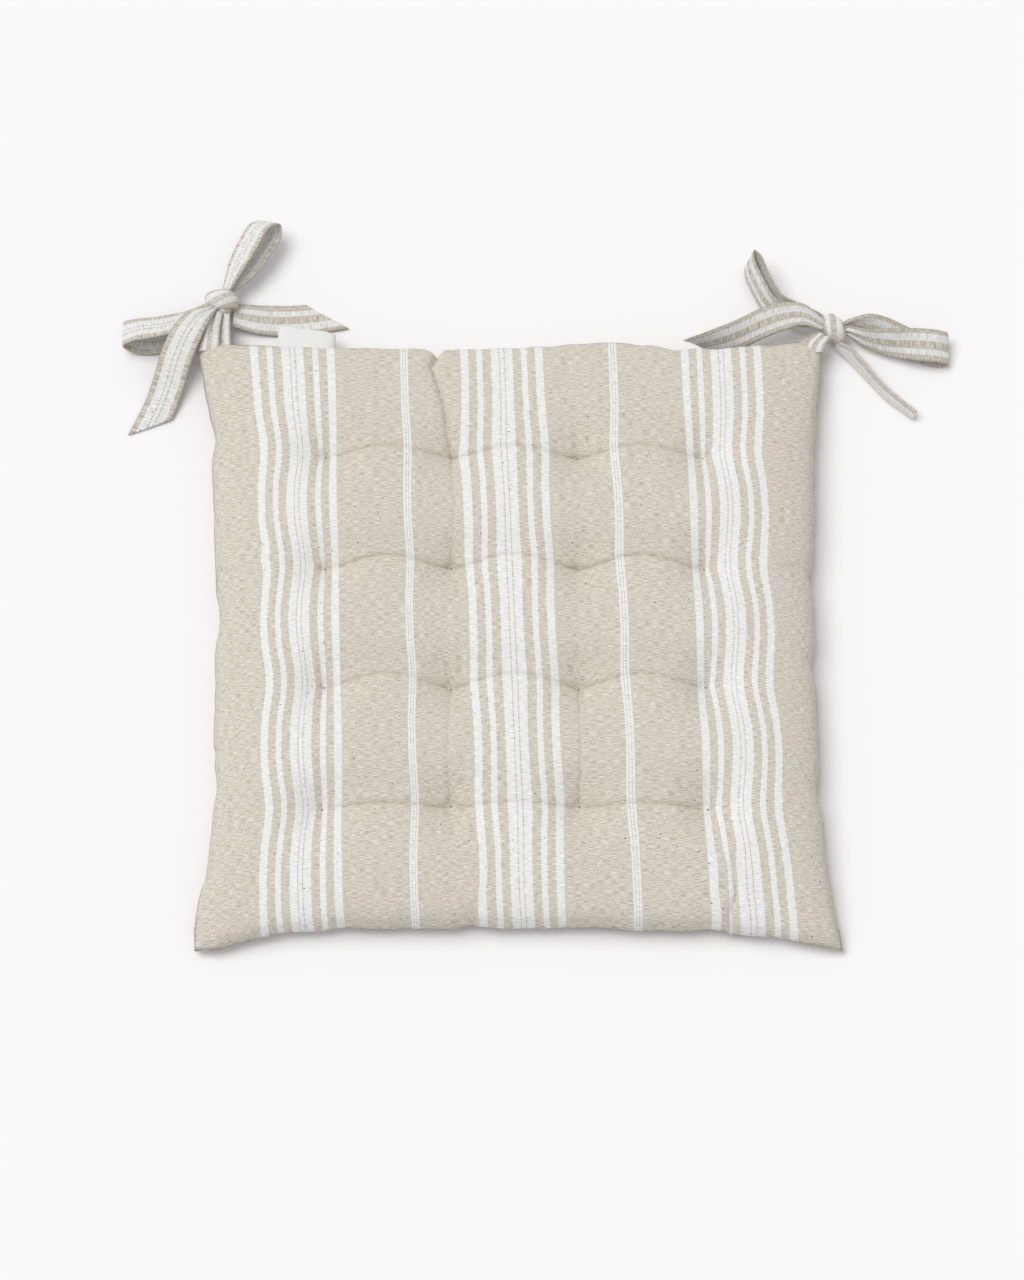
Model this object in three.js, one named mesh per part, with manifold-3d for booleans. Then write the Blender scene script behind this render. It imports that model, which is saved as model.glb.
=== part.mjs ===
// A tufted chair seat pad with a tied bow at each rear corner.
// Millimetres, +Z up, +Y towards the rear (the tie side). The origin is the centre of the underside.
import * as THREE from 'three';
import { mergeVertices } from 'three/addons/utils/BufferGeometryUtils.js';
import Module from 'manifold-3d';

const wasm = await Module();
wasm.setup();

// ---- Driving dimensions ----
const HALF = 200; // half the finished side, measured at the corners
const SIDE_PULL = 9; // how far the left and right sides draw in between the corners
const END_PULL = 4; // how far the front and rear draw in
const SEAM_Z = 17; // height of the perimeter seam
const CROWN = 24; // rise from the seam to the top of the puffs
const CLOTH = 0.8; // cover cloth with its lining
const SEAM_GAP = 2.2; // space between the two seam allowances
const ALLOWANCE = 8; // width of the seam allowance inside the pad
const CLEARANCE = 0.35; // between pieces that touch

const TUFT_LINES = [-0.6, -0.2, 0.2, 0.6]; // tuft rows and columns, as shares of HALF
const TUFT_PITCH = TUFT_LINES[1] - TUFT_LINES[0];
const TUFT_FLAT = 0.03; // half width of the flat spot under a tuft, as a share of HALF
const TOP_DIP = 0.62; // share of the crown that a tuft pulls down
const TOP_CREASE = 0.16; // share of the crown lost along the lines between tufts
const BOTTOM_FULLNESS = 1.25; // above 1 the underside lies flat on its surface
const BOTTOM_DIP = 0.48; // share of the underside that a tuft pulls up
const EDGE_POWER = 6; // how squarely the dome turns down at the edge

const THREAD_RADIUS = 0.8; // the tuft's cord
const THREAD_HOLE = 1.5; // the opening that it passes through
const TUFT_STITCH = new THREE.Vector3(7, 1.8, 1.3); // the stitch that lies on the cloth
const SEAM_THREAD_RADIUS = 0.45;
const SEAM_THREAD_INSET = 5;
const SEAM_THREAD_STEPS = 120;

const FILLING_INSET = 9.5; // the filling stops inside the seam allowance
const FILLING_GAP = 3; // between the cover's outside and the filling

const STRAP = 21; // width of a tie
const STRAP_ROOT = 9; // width where the knot gathers it
const STRAP_THICK = 1.6;
const KNOT_RADII = new THREE.Vector3(9, 9, 8);
const LEFT_KNOT = new THREE.Vector3(-189, 235, 10);
const RIGHT_KNOT = new THREE.Vector3(204.5, 216, 10);

const LABEL_WIDTH = 37;
const LABEL_THICK = 0.8;

// Grid lines of the covers from the middle to the edge, as shares of HALF.
const HALF_LINES = [0, 0.085, 0.17, 0.23, 0.4, 0.57, 0.63, 0.8, 0.9, 0.97, 1];
// The filling shares them, apart from its own edge.
const FILLING_EDGE = 1 - FILLING_INSET / HALF;
const FILLING_LINES = [...HALF_LINES.slice(0, -2), 0.93, FILLING_EDGE];

// ---- Materials ----
const cloth = (color) => new THREE.MeshStandardMaterial({ color, roughness: 0.95, metalness: 0 });
const STRIPED_LINEN = cloth(0xd0cabd);
const TIE_LINEN = cloth(0xd8d4ca);
const WADDING = cloth(0xf2f0ea);
const SEWING_THREAD = cloth(0xcbc3b3);
const LABEL_TAPE = cloth(0xf4f4f0);

// ---- Booleans ----
function toSolid(geometry) {
  const bare = geometry.clone();
  bare.deleteAttribute('normal');
  bare.deleteAttribute('uv');
  const merged = mergeVertices(bare, 1e-4);
  return new wasm.Manifold(new wasm.Mesh({
    numProp: 3,
    vertProperties: new Float32Array(merged.attributes.position.array),
    triVerts: new Uint32Array(merged.index.array),
  }));
}

function toGeometry(solid) {
  const mesh = solid.getMesh();
  const geometry = new THREE.BufferGeometry();
  geometry.setAttribute('position', new THREE.BufferAttribute(new Float32Array(mesh.vertProperties), 3));
  geometry.setIndex(new THREE.BufferAttribute(new Uint32Array(mesh.triVerts), 1));
  geometry.computeVertexNormals();
  return geometry;
}

// ---- The pad's form: u and v run from -1 to 1 across the width and the depth ----
const plan = (u, v) => [
  HALF * u - SIDE_PULL * (1 - v * v) * u ** 5,
  HALF * v - END_PULL * (1 - u * u) * v ** 5,
];

const dome = (u, v) => Math.sqrt(Math.max(0, (1 - Math.abs(u) ** EDGE_POWER) * (1 - Math.abs(v) ** EDGE_POWER)));

// 1 on a row of tufts and 0 midway between two rows, and from half a pitch outside the last row
function nearRow(t) {
  if (Math.abs(t) > TUFT_LINES[3] + TUFT_PITCH / 2) {
    return 0;
  }
  const wave = (x) => Math.cos((Math.PI * x) / TUFT_PITCH) ** 2;
  return Math.min(1, wave(t - TUFT_LINES[3]) / wave(TUFT_FLAT));
}

function topHeight(u, v) {
  const a = nearRow(u);
  const b = nearRow(v);
  const loss = TOP_DIP * a * b + TOP_CREASE * (a * (1 - b) + b * (1 - a));
  return SEAM_Z + CROWN * dome(u, v) * (1 - loss);
}

function bottomHeight(u, v) {
  const fullness = BOTTOM_FULLNESS * dome(u, v) * (1 - BOTTOM_DIP * nearRow(u) * nearRow(v));
  return SEAM_Z * (1 - Math.min(1, fullness));
}

function normalAt(height, u, v) {
  const step = 1e-3;
  const point = (p, q) => new THREE.Vector3(...plan(p, q), height(p, q));
  const along = point(u + step, v).sub(point(u - step, v));
  const across = point(u, v + step).sub(point(u, v - step));
  return along.cross(across).normalize();
}

// Signed grid line for a place from 0 to 1 along a box side of 2 * (lines - 1) segments
function gridLine(lines, share) {
  const index = Math.round(share * 2 * (lines.length - 1)) - (lines.length - 1);
  return Math.sign(index) * lines[Math.abs(index)];
}

// Moves every vertex of a geometry to place(x, y, z)
function bend(geometry, place) {
  const position = geometry.attributes.position;
  for (let i = 0; i < position.count; i += 1) {
    position.setXYZ(i, ...place(position.getX(i), position.getY(i), position.getZ(i)));
  }
  geometry.computeVertexNormals();
  return geometry;
}

// A box splits the squares of its front and back faces on opposite diagonals. This splits the back ones
// like the front ones, so that the inside of a thin cover runs parallel to its outside.
function matchDiagonals(box) {
  const BACK_FACE = 5;
  const { start, count } = box.groups[BACK_FACE];
  for (let i = start; i < start + count; i += 6) {
    const [a, b, d, , c] = box.index.array.slice(i, i + 6);
    box.index.array.set([a, b, c, a, c, d], i);
  }
  return box;
}

// A thin cover: layer 0 is its outside, layers 1 and 2 the edge of the seam allowance, layer 3 its inside.
// side is +1 for the top cover and -1 for the bottom one.
function coverGeometry(height, side) {
  const segments = 2 * (HALF_LINES.length - 1);
  const rim = SEAM_Z + (side * SEAM_GAP) / 2;
  const box = matchDiagonals(new THREE.BoxGeometry(1, 1, 1, segments, segments, 3));
  return bend(box, (x, y, z) => {
    const u = gridLine(HALF_LINES, x + 0.5);
    const v = gridLine(HALF_LINES, y + 0.5);
    const layer = Math.round((0.5 - side * z) * 3);
    const onRim = Math.max(Math.abs(u), Math.abs(v)) === 1;
    if (onRim) {
      const inset = [0, ALLOWANCE, ALLOWANCE, CLOTH][layer];
      const scale = 1 - inset / HALF;
      const lift = layer >= 2 ? side * CLOTH : 0;
      return [...plan(u * scale, v * scale), rim + lift];
    }
    const spread = ((side * SEAM_GAP) / 2) * (1 - dome(u, v));
    const outside = new THREE.Vector3(...plan(u, v), Math.max(0, height(u, v) + spread));
    if (layer === 3) {
      outside.addScaledVector(normalAt(height, u, v), -side * CLOTH);
    }
    return outside.toArray();
  });
}

function fillingGeometry() {
  const segments = 2 * (FILLING_LINES.length - 1);
  const box = matchDiagonals(new THREE.BoxGeometry(1, 1, 1, segments, segments, 1));
  return bend(box, (x, y, z) => {
    const u = gridLine(FILLING_LINES, x + 0.5);
    const v = gridLine(FILLING_LINES, y + 0.5);
    const top = topHeight(u, v) - FILLING_GAP;
    const bottom = bottomHeight(u, v) + FILLING_GAP;
    return [...plan(u, v), z > 0 ? top : bottom];
  });
}

// ---- Tufts ----
function uprightCylinder(radius, low, high, [x, y]) {
  const cylinder = new THREE.CylinderGeometry(radius, radius, high - low, 8);
  return cylinder.rotateX(Math.PI / 2).translate(x, y, (low + high) / 2);
}

function tuftGeometry(u, v) {
  const [x, y] = plan(u, v);
  const { x: length, y: width, z: thick } = TUFT_STITCH;
  const upper = topHeight(u, v) + CLEARANCE + thick / 2;
  const lower = bottomHeight(u, v) - CLEARANCE - thick / 2;
  const stitch = (z) => toSolid(new THREE.BoxGeometry(length, width, thick).translate(x, y, z));
  const cord = toSolid(uprightCylinder(THREAD_RADIUS, lower, upper, [x, y]));
  return toGeometry(cord.add(stitch(upper)).add(stitch(lower)));
}

const tufts = TUFT_LINES.flatMap((v, row) => TUFT_LINES.map((u, column) => ({
  name: `tuft_${TUFT_LINES.length - row}_${column + 1}`,
  u,
  v,
})));

function withTuftHoles(geometry) {
  const drill = (solid, { u, v }) => {
    const hole = uprightCylinder(THREAD_HOLE, -HALF, HALF, plan(u, v));
    return solid.subtract(toSolid(hole));
  };
  return toGeometry(tufts.reduce(drill, toSolid(geometry)));
}

// ---- Seam thread: once round the pad inside the seam, with its two ends side by side at the front ----
function seamThreadGeometry() {
  const scale = 1 - SEAM_THREAD_INSET / HALF;
  const corner = 0.98;
  const stops = [-corner, -0.5, 0, 0.5, corner];
  const ends = 0.01;
  const lap = [
    ...[ends, ...stops.filter((s) => s > 0)].map((s) => [s, -1]),
    ...stops.map((s) => [1, s]),
    ...stops.map((s) => [-s, 1]),
    ...stops.map((s) => [-1, -s]),
    ...[...stops.filter((s) => s < 0), -ends].map((s) => [s, -1]),
  ];
  const points = lap.map(([u, v]) => new THREE.Vector3(...plan(u * scale, v * scale), SEAM_Z));
  const r = SEAM_THREAD_RADIUS;
  const section = new THREE.Shape([[r, 0], [0, r], [-r, 0], [0, -r]].map((p) => new THREE.Vector2(...p)));
  return new THREE.ExtrudeGeometry(section, {
    steps: SEAM_THREAD_STEPS,
    bevelEnabled: false,
    extrudePath: new THREE.CatmullRomCurve3(points),
  });
}

// ---- Straps: a flat band bent along stations of [centre, width direction, width] ----
// cut is how much shorter the band is on its negative edge, as a share of its length.
function strapGeometry(stations, { thick = STRAP_THICK, cut = 0, stepsPerStation = 2 } = {}) {
  const track = (values) => new THREE.CatmullRomCurve3(values, false, 'centripetal');
  const centres = track(stations.map(([centre]) => new THREE.Vector3(...centre)));
  const blend = (values, t) => {
    const place = t * (values.length - 1);
    const i = Math.min(Math.floor(place), values.length - 2);
    return values[i].clone().lerp(values[i + 1], place - i);
  };
  const acrosses = stations.map(([, across]) => new THREE.Vector3(...across).normalize());
  const widths = stations.map(([, , width]) => new THREE.Vector3(width, 0, 0));
  const steps = (stations.length - 1) * stepsPerStation;
  return bend(new THREE.BoxGeometry(1, 1, 1, 1, 1, steps), (x, y, z) => {
    const t = (z + 0.5) * (1 - cut * (0.5 - x));
    const tangent = centres.getTangent(t);
    const across = blend(acrosses, t).normalize();
    const normal = tangent.clone().cross(across).normalize();
    const centre = centres.getPoint(t);
    centre.addScaledVector(across, x * blend(widths, t).x).addScaledVector(normal, y * thick);
    return centre.toArray();
  });
}

// Two limbs from the knot that meet in a round tip, leaning to one side
const LEFT_REAR_LEAN = [0.669, -0.373, 0.643];
const leftRearLoop = [
  [[-184.8, 244.7, 13.3], LEFT_REAR_LEAN, STRAP_ROOT],
  [[-179.8, 257.4, 15.4], LEFT_REAR_LEAN, 17],
  [[-172.9, 271.8, 16.6], LEFT_REAR_LEAN, STRAP],
  [[-165.1, 285.8, 16.6], LEFT_REAR_LEAN, STRAP],
  [[-158.3, 290, 12], LEFT_REAR_LEAN, STRAP],
  [[-158.3, 282, 8.6], LEFT_REAR_LEAN, STRAP],
  [[-166.1, 268, 8.4], LEFT_REAR_LEAN, STRAP],
  [[-174.8, 254.6, 8.8], LEFT_REAR_LEAN, 17],
  [[-182.9, 243.7, 10.4], LEFT_REAR_LEAN, STRAP_ROOT],
];

const leftSideLoop = [
  [[-199.2, 231.2, 13.5], [0.3, 0.9, -0.3], STRAP_ROOT],
  [[-212, 223, 14.6], [0.15, 0.88, -0.45], 18],
  [[-229, 216, 14.6], [0, 0.88, -0.45], STRAP],
  [[-244, 214.5, 13], [0, 0.88, -0.42], STRAP],
  [[-252, 213.5, 7.8], [0, 0.95, -0.3], STRAP],
  [[-244.5, 212.5, 2.6], [0, 1, -0.06], STRAP],
  [[-229, 213, 1.8], [0, 1, 0], STRAP],
  [[-212, 221, 3.8], [0.3, 0.95, 0], 17],
  [[-199.5, 228.6, 8], [0.4, 0.9, 0], STRAP_ROOT],
];

const leftLongTail = [
  [[-195.6, 226.2, 18.5], [-0.7, 0.45, 0.2], 7],
  [[-203, 219.5, 22.4], [-0.82, 0.5, 0.1], 15],
  [[-210.5, 208, 22.2], [-0.88, 0.46, 0.05], 20],
  [[-217, 195, 16.5], [-0.92, 0.4, 0], STRAP],
  [[-222, 180, 8], [-0.94, 0.33, 0], STRAP],
  [[-228, 164, 2.8], [-0.93, 0.36, 0], STRAP],
  [[-238.5, 141.5, 1.3], [-0.9, 0.42, 0], STRAP],
];

const leftShortTail = [
  [[-179.2, 230.2, 8], [-0.2, -1, 0.1], 10],
  [[-166, 226.5, 4], [-0.05, -1, 0], 18],
  [[-150, 225, 2], [0, -1, 0], STRAP],
  [[-130, 227, 1.5], [0.1, -1, 0], STRAP],
  [[-108.5, 230.5, 1.4], [0.15, -1, 0], STRAP],
];

const rightRearLoop = [
  [[194.6, 220.3, 11.5], [0.5, 0.4, 0.77], STRAP_ROOT],
  [[182, 223.8, 12.2], [0.45, 0.4, 0.8], 16],
  [[167.5, 232.5, 12.8], [0.4, 0.42, 0.81], STRAP],
  [[157.5, 245.5, 12.8], [0.4, 0.4, 0.82], STRAP],
  [[151.2, 258.5, 12.8], [0.4, 0.4, 0.82], STRAP],
  [[151.6, 264.8, 11.6], [0.4, 0.4, 0.82], STRAP],
  [[156.4, 262.2, 10.3], [0.4, 0.4, 0.82], STRAP],
  [[162.5, 250, 10.3], [0.4, 0.4, 0.82], STRAP],
  [[172, 237.5, 10.3], [0.4, 0.42, 0.81], STRAP],
  [[184, 228.6, 10], [0.45, 0.4, 0.8], 16],
  [[195.6, 223.6, 9.6], [0.5, 0.4, 0.77], STRAP_ROOT],
];

const rightShortTail = [
  [[196.2, 217.4, 16.4], [0.1, 0.9, 0.4], STRAP_ROOT],
  [[185, 220.8, 22.6], [0.05, 0.88, 0.45], 14],
  [[173, 222, 26.4], [-0.05, 0.85, 0.5], 19],
  [[158.5, 218, 23.4], [-0.1, 0.8, 0.58], STRAP],
  [[143, 211.8, 16.5], [-0.1, 0.66, 0.75], STRAP],
  [[126.5, 206.2, 12], [-0.05, 0.42, 0.9], STRAP],
  [[108, 201.6, 11.2], [0, 0.14, 0.99], STRAP],
];

const rightSideLoop = [
  [[214.4, 214.2, 12], [0.2, 0.35, 0.9], STRAP_ROOT],
  [[226, 208.8, 12.6], [0.15, 0.36, 0.92], 17],
  [[241, 205, 14], [0.05, 0.55, 0.83], STRAP],
  [[258, 203.6, 14.4], [0, 0.85, 0.5], STRAP],
  [[271.5, 203, 12.6], [0, 0.94, 0.32], STRAP],
  [[278, 203, 7.8], [0, 0.96, 0.26], STRAP],
  [[271.5, 203.4, 3.2], [0, 0.99, 0.1], STRAP],
  [[256, 207.5, 4.4], [0, 0.96, 0.25], STRAP],
  [[240, 213.6, 8.6], [0.05, 0.76, 0.65], STRAP],
  [[226, 218.6, 10.6], [0.15, 0.52, 0.84], 18],
  [[214.6, 219.2, 10.6], [0.2, 0.4, 0.89], STRAP_ROOT],
];

// This tail is folded in half along its length.
const FOLDED_TAIL = 10;
const FOLDED_THICK = 3;
const rightLongTail = [
  [[208.4, 206, 7.4], [0.3, 0.3, 0.9], 7],
  [[214.6, 201.4, 6], [0.45, 0.42, 0.78], 9],
  [[222, 192.6, 5.8], [0.5, 0.38, 0.78], FOLDED_TAIL],
  [[229, 182.6, 5.8], [0.5, 0.38, 0.78], FOLDED_TAIL],
  [[238, 171.4, 5.8], [0.45, 0.42, 0.78], FOLDED_TAIL],
  [[256.5, 158.2, 5.6], [0.4, 0.5, 0.76], FOLDED_TAIL],
];

const leftUpperStem = [
  [[-196, 201.6, 18.2], [1, 0, 0], 13],
  [[-195, 212, 17.4], [1, 0, 0], 11],
  [[-192.4, 224.6, 14.4], [1, 0, 0], 9],
];
const leftLowerStem = [
  [[-188.6, 201.6, 15.8], [1, 0, 0], 13],
  [[-188.4, 212, 15], [1, 0, 0], 11],
  [[-187.8, 224.2, 12], [1, 0, 0], 9],
];
const rightUpperStem = [
  [[192.6, 201.6, 18.2], [1, 0, 0], 14],
  [[194.6, 204.4, 18], [1, -0.3, 0], 12],
  [[197.4, 207.6, 16.6], [1, -0.6, 0], 9],
];
const rightLowerStem = [
  [[188, 201.6, 15.8], [1, 0, 0], 14],
  [[190.6, 204.6, 15.4], [1, -0.3, 0], 12],
  [[194.6, 208.4, 13.6], [1, -0.6, 0], 9],
];

const labelTape = [
  [[-133.5, 199.6, SEAM_Z], [1, 0, 0], LABEL_WIDTH],
  [[-133.5, 206.5, SEAM_Z + 0.6], [1, 0, 0], LABEL_WIDTH],
  [[-133.5, 213.5, SEAM_Z - 1.4], [1, 0, 0], LABEL_WIDTH],
];

function knotGeometry() {
  return new THREE.SphereGeometry(1, 14, 10).scale(...KNOT_RADII.toArray());
}

// ---- Assembly ----
const part = new THREE.Group();

function addMesh(name, geometry, material) {
  const mesh = new THREE.Mesh(geometry, material);
  mesh.name = name;
  part.add(mesh);
  return mesh;
}

addMesh('cover_top', withTuftHoles(coverGeometry(topHeight, 1)), STRIPED_LINEN);
addMesh('cover_bottom', withTuftHoles(coverGeometry(bottomHeight, -1)), STRIPED_LINEN);
addMesh('filling', withTuftHoles(fillingGeometry()), WADDING);
addMesh('seam_thread', seamThreadGeometry(), SEWING_THREAD);
tufts.forEach(({ name, u, v }) => addMesh(name, tuftGeometry(u, v), SEWING_THREAD));
addMesh('label', strapGeometry(labelTape, { thick: LABEL_THICK }), LABEL_TAPE);

const straps = {
  left_upper_stem: [leftUpperStem],
  left_lower_stem: [leftLowerStem],
  left_rear_loop: [leftRearLoop, { stepsPerStation: 3 }],
  left_side_loop: [leftSideLoop, { stepsPerStation: 3 }],
  left_long_tail: [leftLongTail, { cut: 0.2 }],
  left_short_tail: [leftShortTail, { cut: 0.3 }],
  right_upper_stem: [rightUpperStem],
  right_lower_stem: [rightLowerStem],
  right_rear_loop: [rightRearLoop, { stepsPerStation: 3 }],
  right_side_loop: [rightSideLoop, { stepsPerStation: 3 }],
  right_long_tail: [rightLongTail, { thick: FOLDED_THICK }],
  right_short_tail: [rightShortTail, { cut: 0.15 }],
};
Object.entries(straps).forEach(([name, [stations, shape]]) => {
  addMesh(name, strapGeometry(stations, shape), TIE_LINEN);
});
addMesh('left_knot', knotGeometry(), TIE_LINEN).position.copy(LEFT_KNOT);
addMesh('right_knot', knotGeometry(), TIE_LINEN).position.copy(RIGHT_KNOT);

export default part;
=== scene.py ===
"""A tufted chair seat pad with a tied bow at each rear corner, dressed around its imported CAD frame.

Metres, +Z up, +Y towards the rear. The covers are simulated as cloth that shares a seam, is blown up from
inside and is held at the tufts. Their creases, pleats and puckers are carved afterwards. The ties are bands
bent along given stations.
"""

import math

import bpy
import numpy as np
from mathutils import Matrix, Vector


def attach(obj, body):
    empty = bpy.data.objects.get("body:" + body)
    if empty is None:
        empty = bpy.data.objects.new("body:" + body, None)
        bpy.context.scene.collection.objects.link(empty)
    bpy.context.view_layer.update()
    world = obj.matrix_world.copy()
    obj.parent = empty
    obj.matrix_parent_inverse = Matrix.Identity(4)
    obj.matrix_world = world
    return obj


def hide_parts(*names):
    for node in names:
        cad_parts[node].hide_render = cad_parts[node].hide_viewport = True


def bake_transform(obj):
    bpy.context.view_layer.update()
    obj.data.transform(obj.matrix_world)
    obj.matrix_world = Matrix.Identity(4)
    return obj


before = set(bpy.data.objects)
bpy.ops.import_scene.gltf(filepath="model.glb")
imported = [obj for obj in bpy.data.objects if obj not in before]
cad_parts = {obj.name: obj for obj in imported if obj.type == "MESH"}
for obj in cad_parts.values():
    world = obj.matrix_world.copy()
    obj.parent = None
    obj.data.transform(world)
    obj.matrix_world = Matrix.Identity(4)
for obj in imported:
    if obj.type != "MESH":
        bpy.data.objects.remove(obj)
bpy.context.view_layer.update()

MM = 0.001

# ---- Driving dimensions, the same as the CAD's ----
HALF = 200 * MM  # half the finished side, measured at the corners
SIDE_PULL = 9 * MM  # how far the left and right sides draw in between the corners
REAR_PULL = 0.5 * MM  # how far the rear draws in
FRONT_PULL = 7 * MM  # and the front
SEAM_Z = 17 * MM  # at the rear, where the ties are sewn in
FRONT_SEAM_Z = 8 * MM
TUFT_LINES = (-0.6, -0.2, 0.2, 0.6)  # shares of HALF
TUFT_PITCH = 0.4
TUFT_FLAT = 0.03  # share of HALF over which a row keeps its full depth
TOP_DIP = 0.4  # share of the top's rise that is lost at a tuft
TOP_DIP_REACH = 17 * MM
ROW_CREASE = 0.15  # and along a row of tufts
BOTTOM_FULLNESS = 2.1  # above 1, so that the middle lies flat
BOTTOM_DIP = 0.48  # share of it that is lost at a tuft
EDGE_POWER = 6  # the higher, the further out the rise stays full
PAD_TOP = 41 * MM
TUFT_Z = 26 * MM  # the CAD's height of the top stitches, above which the puffs are scaled
PIT_Z = 23 * MM  # the lowest that the creases may take the cloth among the tufts
AMONG_TUFTS = 0.7  # how far out that holds, in u and v
ALLOWANCE = 8 * MM
CLOTH = 0.6 * MM
SEAM_GAP = 0.5 * MM  # between the two covers at the seam

# ---- The cloth simulation of the covers ----
GRID = 100  # squares along each side of a cover
GROWTH = 0.035  # how much larger than its starting form the cloth is
SEAM_GROWTH = 0.01  # and at the seam
SEAM_BAND = 4  # rings of points over which the growth starts
SEAM_HOLD = 0.85  # how firmly the seam keeps its outline, midway
CORNER_HOLD = 0.98  # and near a corner
SMOOTHING = 2.5  # in squares, against ripples that thicker cloth doesn't take
RISE_SHARE = 0.3  # of the simulation's swelling, because a filling puffs out less than air
ROW_HOLD = 0.8  # how firmly the rows of tufts are held
COLUMN_HOLD = 0.2  # and the columns
LINE_MARGIN = 8  # squares at each end of a row or column that are free
# How far each row's creases arc rearwards, front row first
CREASE_BOWS = (1.5 * MM, 5.5 * MM, 6 * MM, 5 * MM)
ROW_SHIFTS = (4 * MM, 5 * MM, 4.5 * MM, 0)  # how far the filling has carried each row rearwards
SIM_FRAMES = 18
CLOTH_SETTINGS = dict(
    quality=6,
    mass=0.3,
    tension_stiffness=40,
    compression_stiffness=20,
    shear_stiffness=5,
    bending_stiffness=1,
    air_damping=3,
    use_pressure=True,
    uniform_pressure_force=5,
    vertex_group_mass="held",
    vertex_group_shrink="seam",
    shrink_min=-GROWTH,
    shrink_max=-SEAM_GROWTH,
)
PINCH = 3.2 * MM  # how far a stitch draws the cloth in right beside it
# Where each corner of the real pad has ended up, by its u and v
CORNERS = {
    (-1, 1): (-205 * MM, 207 * MM, 11 * MM),
    (1, 1): (198 * MM, 203.5 * MM, 13 * MM),
    (-1, -1): (-198.5 * MM, -203 * MM, 6 * MM),
    (1, -1): (203 * MM, -203 * MM, 6 * MM),
}
STRIPE_SKEW = 0.033  # the cloth is cut a little off its grain
STRIPE_SHIFT = 1 * MM
PLAIN_FROM = 206 * MM  # the cloth beyond this is plain, short of its next stripe
PLEAT_X = -52 * MM  # a pleat in the rear seam draws in the cloth on both sides of it
PLEAT_TAKE = 7 * MM
PLEAT_WIDTH = 6 * MM
PLEAT_FADE = 90 * MM  # how far its pull reaches on the right
TUFT_GATHER = 0.18  # how much a tuft draws the cloth round it together
GATHER_REACH = (42 * MM, 20 * MM)  # and how far, across and along

# ---- Camera ----
CAMERA_TARGET = Vector((-1.9 * MM, 0, 15 * MM))
CAMERA_DISTANCE = 4.0
CAMERA_ELEVATION = math.radians(69)
CAMERA_LENS = 178.4

# ---- Light: a soft, high key from the rear left, and an even white surround ----
KEY_FROM = (-0.42, 0.14, 1.0)
KEY_STRENGTH = 1.72
KEY_SPREAD = math.radians(42)
SKY_STRENGTH = 0.592
FLOOR_HALF = 6
FLOOR_COLOR = (0.885, 0.868, 0.876)


def link(obj):
    bpy.context.scene.collection.objects.link(obj)
    return obj


def make_camera():
    data = bpy.data.cameras.new("camera")
    data.lens = CAMERA_LENS
    data.clip_end = 20
    camera = link(bpy.data.objects.new("camera", data))
    back = Vector((0, -math.cos(CAMERA_ELEVATION), math.sin(CAMERA_ELEVATION)))
    camera.location = CAMERA_TARGET + CAMERA_DISTANCE * back
    camera.rotation_euler = (math.pi / 2 - CAMERA_ELEVATION, 0, 0)
    bpy.context.scene.camera = camera


def make_light():
    world = bpy.data.worlds.new("world")
    world.use_nodes = True
    background = world.node_tree.nodes["Background"]
    background.inputs["Color"].default_value = (1, 1, 1, 1)
    background.inputs["Strength"].default_value = SKY_STRENGTH
    bpy.context.scene.world = world
    data = bpy.data.lights.new("key", "SUN")
    data.energy = KEY_STRENGTH
    data.angle = KEY_SPREAD
    key = link(bpy.data.objects.new("key", data))
    key.rotation_euler = (-Vector(KEY_FROM)).to_track_quat("-Z", "Y").to_euler()
    bpy.context.scene.view_settings.view_transform = "Standard"


def square(half):
    """Points and face of a level square on the floor."""
    return [(-half, -half, 0), (half, -half, 0), (half, half, 0), (-half, half, 0)], [(0, 1, 2, 3)]


def make_floor():
    floor = mesh_object("floor", *square(FLOOR_HALF))
    n = Nodes("floor")
    n.paint(FLOOR_COLOR)
    n.shader.inputs["Roughness"].default_value = 0.9
    floor.data.materials.append(n.material)


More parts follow.
